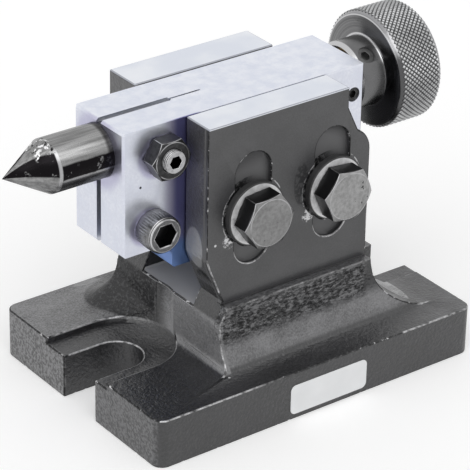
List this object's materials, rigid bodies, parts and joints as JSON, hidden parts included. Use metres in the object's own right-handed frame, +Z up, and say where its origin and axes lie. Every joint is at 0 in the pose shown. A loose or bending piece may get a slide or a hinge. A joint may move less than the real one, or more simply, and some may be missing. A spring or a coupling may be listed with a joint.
{
  "type": "adjustable tailstock",
  "caption": "Adjustable tailstock: a slotted cast base with two cheeks, a height-set block clamped by bolts, and a pointed quill fed in and out by a knurled handwheel.",
  "frame": {"origin": "middle of the base plate's underside, midway between the plate's ends and sides", "axes": "+X along the quill, from its point towards the handwheel; +Y from the bolted near cheek to the plain far cheek; +Z up from the machine table"},
  "size_m": [0.1601, 0.0903, 0.113],
  "materials": {
    "cast_iron": "semi-gloss black paint on cast iron, with ground tops and milled flats",
    "ground_steel": "ground",
    "quill_steel": "hardened and polished, with dark streaks",
    "bolt_steel": "turned, satin",
    "black_oxide": "black oxide, satin",
    "knurled_steel": "diamond knurl with polished chamfers",
    "bronze": "turned",
    "plate_white": "white, satin"
  },
  "bodies": {
    "base": {"base_casting": "cast_iron", "name_plate": "plate_white"},
    "carriage": {"front_clamp_washer": "bolt_steel"},
    "block": {"quill_block": "ground_steel", "feed_bush": "bronze", "bush_set_screw": "black_oxide", "rear_clamp_washer": "bolt_steel"},
    "quill": {"quill": "quill_steel"},
    "handwheel": {"handwheel": "knurled_steel", "handwheel_set_screw": "black_oxide", "feed_screw": "bolt_steel"},
    "front_bolt": {"front_clamp_bolt": "bolt_steel"},
    "rear_bolt": {"rear_clamp_bolt": "bolt_steel"},
    "quill_clamp": {"quill_clamp_screw": "black_oxide"},
    "key_screw": {"key_screw": "bolt_steel"},
    "lock_nut": {"key_lock_nut": "black_oxide"}
  },
  "joints": [
    {"name": "block_lift", "type": "slide", "parent": "base", "child": "carriage", "axis": [0, 0, 1], "range_m": [-0.0065, 0.0008]},
    {"name": "block_tilt", "type": "hinge", "parent": "carriage", "child": "block", "pos_m": [-0.0154, -0.03, 0.0696], "axis": [0, 1, 0], "range_deg": [-1.5, 1.5]},
    {"name": "quill_feed", "type": "slide", "parent": "block", "child": "quill", "axis": [-1, 0, 0], "range_m": [-0.011, 0.012]},
    {"name": "handwheel_turn", "type": "hinge", "parent": "block", "child": "handwheel", "pos_m": [0.05, 0, 0.0925], "axis": [-1, 0, 0], "range_deg": [-2640, 2880]},
    {"name": "front_bolt_turn", "type": "hinge", "parent": "block", "child": "front_bolt", "pos_m": [-0.0154, -0.03, 0.0696], "axis": [0, -1, 0], "range_deg": [0, 720]},
    {"name": "rear_bolt_turn", "type": "hinge", "parent": "block", "child": "rear_bolt", "pos_m": [0.0166, -0.03, 0.0696], "axis": [0, -1, 0], "range_deg": [0, 720]},
    {"name": "quill_clamp_turn", "type": "hinge", "parent": "block", "child": "quill_clamp", "pos_m": [-0.0462, -0.02, 0.068], "axis": [0, -1, 0], "range_deg": [0, 360]},
    {"name": "key_screw_turn", "type": "hinge", "parent": "block", "child": "key_screw", "pos_m": [-0.0423, -0.02, 0.0925], "axis": [0, -1, 0], "range_deg": [0, 360]},
    {"name": "lock_nut_turn", "type": "hinge", "parent": "block", "child": "lock_nut", "pos_m": [-0.0423, -0.016, 0.0925], "axis": [0, -1, 0], "range_deg": [0, 540]}
  ],
  "couplings": [
    {"joint": "quill_feed", "follows": "handwheel_turn", "m_per_rad": 0.00023873}
  ]
}
